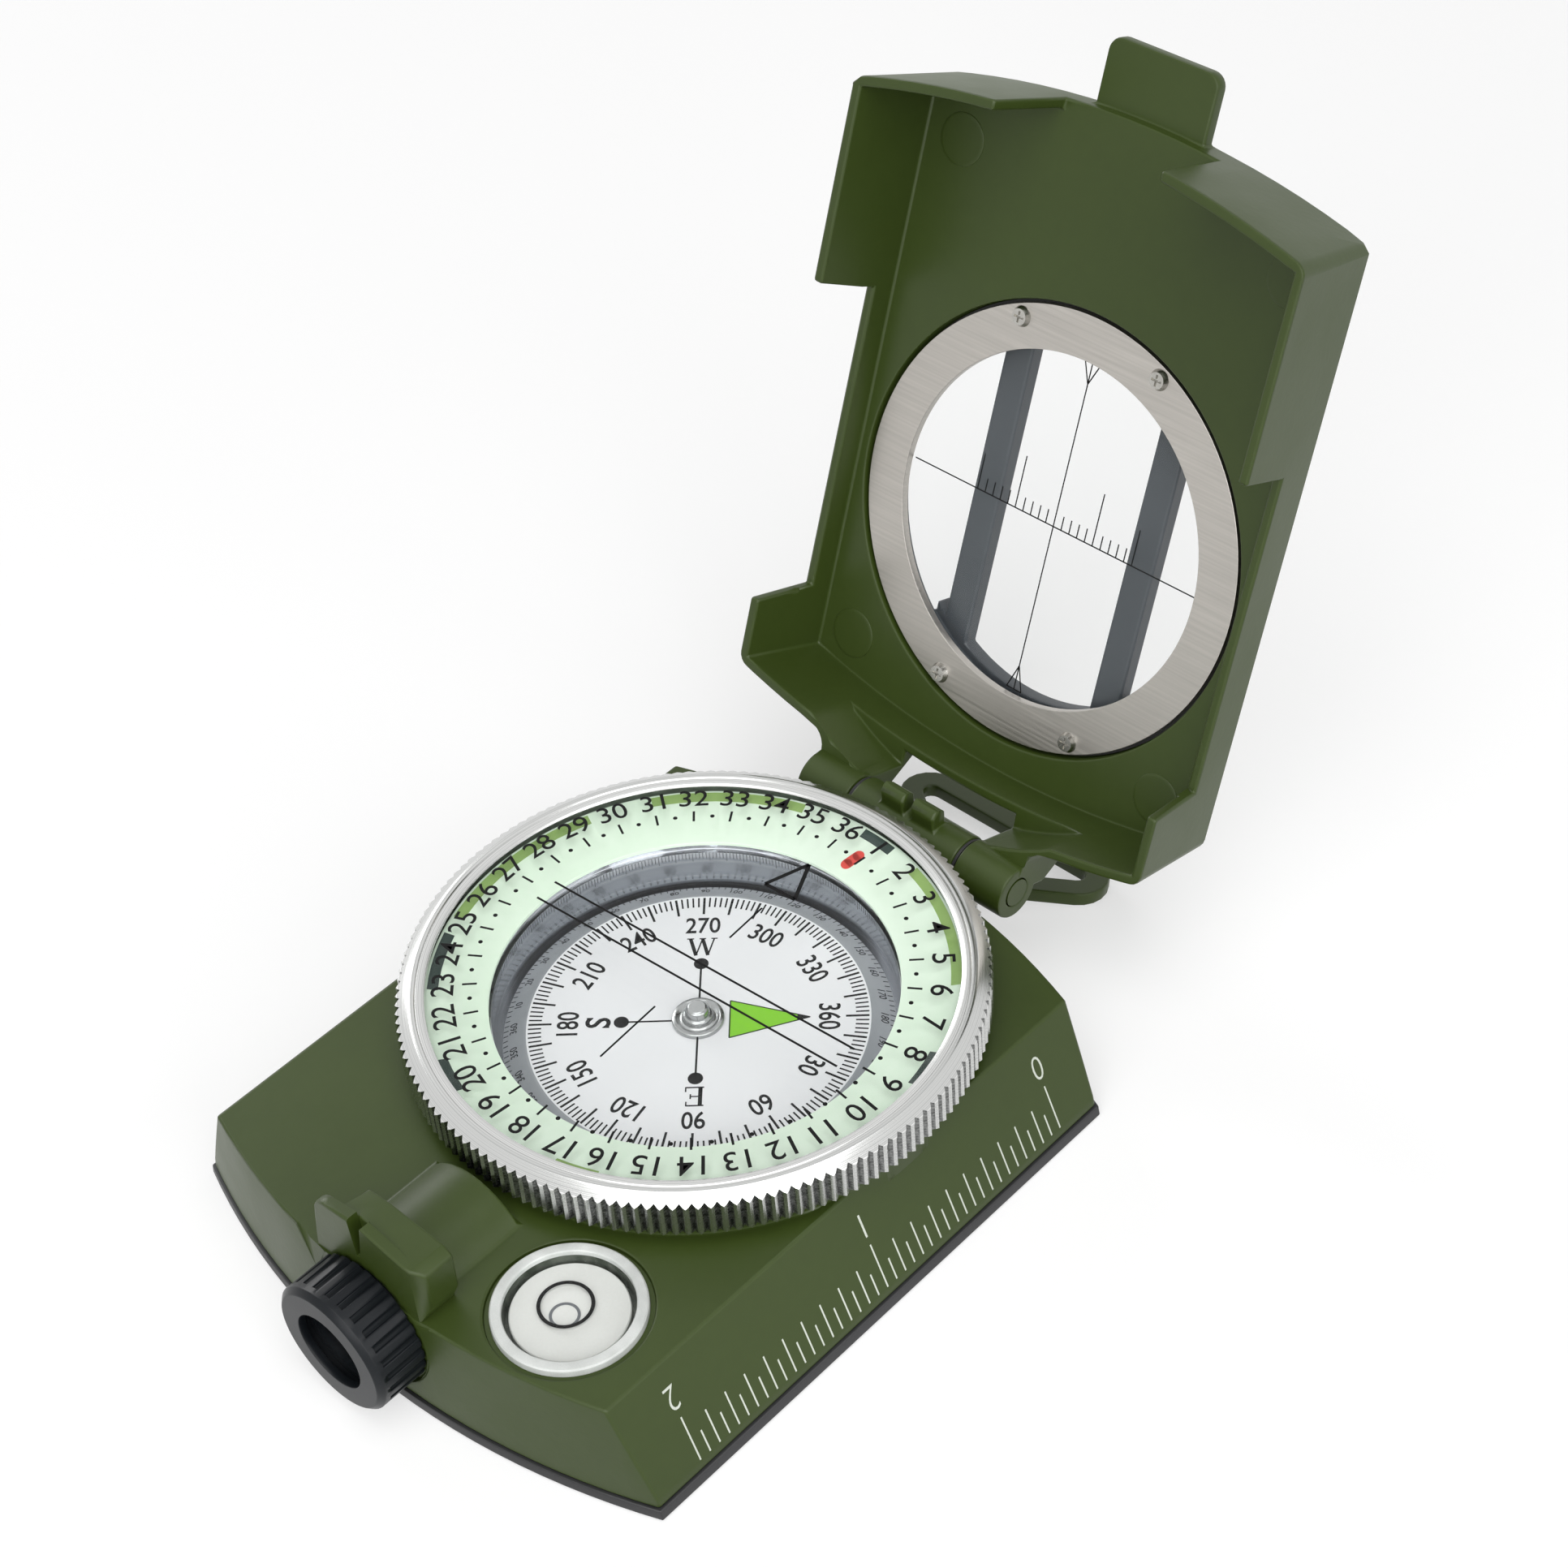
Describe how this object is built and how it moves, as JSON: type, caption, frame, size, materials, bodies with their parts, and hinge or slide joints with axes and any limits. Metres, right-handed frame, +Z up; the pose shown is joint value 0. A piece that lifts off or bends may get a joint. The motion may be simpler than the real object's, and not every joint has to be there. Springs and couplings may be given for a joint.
{
  "type": "military compass",
  "caption": "Folding sighting compass: cast housing with floating dial, knurled bezel, round level and focusing eyepiece, and a windowed lid on a barrel hinge.",
  "frame": {"origin": "underside of the bottom plate, under the dial's axis", "axes": "+Z up along the dial's axis, +Y towards the hinge, +X towards the ruler side"},
  "size_m": [0.063, 0.1223, 0.0849],
  "materials": {
    "olive_paint": "satin olive paint on a casting",
    "black_plate": "matte black",
    "black_anodised": "satin black",
    "bright_metal": "turned, bright",
    "brushed_metal": "brushed",
    "steel": "plain steel",
    "brass": "turned",
    "clear_glass": "clear",
    "lume": "pale green, glows in the dark",
    "white_print": "white with black print",
    "grey_skirt": "grey with fine print",
    "black_rubber": "matte",
    "jewel": "polished"
  },
  "bodies": {
    "housing": {"base_housing": "olive_paint", "bottom_plate": "black_plate", "plate_screws": "steel", "capsule_cup": "bright_metal", "capsule_glass": "clear_glass", "sight_window": "clear_glass", "pivot_post": "brass", "lume_ring": "lume", "bezel_snap_ring": "steel", "level_tray": "white_print", "level_vial": "clear_glass", "sight_tube": "brass", "field_lens": "clear_glass", "hinge_pin": "steel", "hinge_washers": "black_rubber", "loop_pin": "steel"},
    "bezel": {"bezel_ring": "bright_metal", "bezel_glass": "clear_glass"},
    "card": {"compass_card": "white_print", "card_skirt": "grey_skirt", "card_magnets": "steel", "card_cap": "brass", "card_jewel": "jewel"},
    "eyepiece": {"eyepiece_ring": "black_anodised"},
    "lens_cell": {"eyepiece_cell": "black_anodised", "eyepiece_lens": "clear_glass", "lens_retainer": "black_anodised"},
    "lid": {"lid": "olive_paint", "lid_glass": "clear_glass", "lid_gasket": "black_rubber", "lid_ring": "brushed_metal", "ring_screws": "steel"},
    "loop": {"lanyard_loop": "olive_paint"}
  },
  "joints": [
    {"name": "lid_hinge", "type": "hinge", "parent": "housing", "child": "lid", "pos_m": [0, 0.03215, 0.0131], "axis": [-1, 0, 0], "range_deg": [-110.75, 24.25]},
    {"name": "bezel_turn", "type": "hinge", "parent": "housing", "child": "bezel", "pos_m": [0, 0, 0.0165], "axis": [0, 0, 1], "continuous": true},
    {"name": "card_turn", "type": "hinge", "parent": "housing", "child": "card", "pos_m": [0, 0, 0.0117], "axis": [0, 0, 1], "continuous": true},
    {"name": "eyepiece_turn", "type": "hinge", "parent": "housing", "child": "eyepiece", "pos_m": [0, -0.046, 0.0084], "axis": [0, -1, 0], "range_deg": [-150, 150]},
    {"name": "lens_cell_slide", "type": "slide", "parent": "housing", "child": "lens_cell", "axis": [0, -1, 0], "range_m": [-0.0006, 0.0006]},
    {"name": "loop_swing", "type": "hinge", "parent": "housing", "child": "loop", "pos_m": [0, 0.0326, 0.0038], "axis": [1, 0, 0], "range_deg": [-75, 7]}
  ],
  "couplings": [
    {"joint": "eyepiece_turn", "follows": "lens_cell_slide", "rad_per_m": 4363.3}
  ]
}
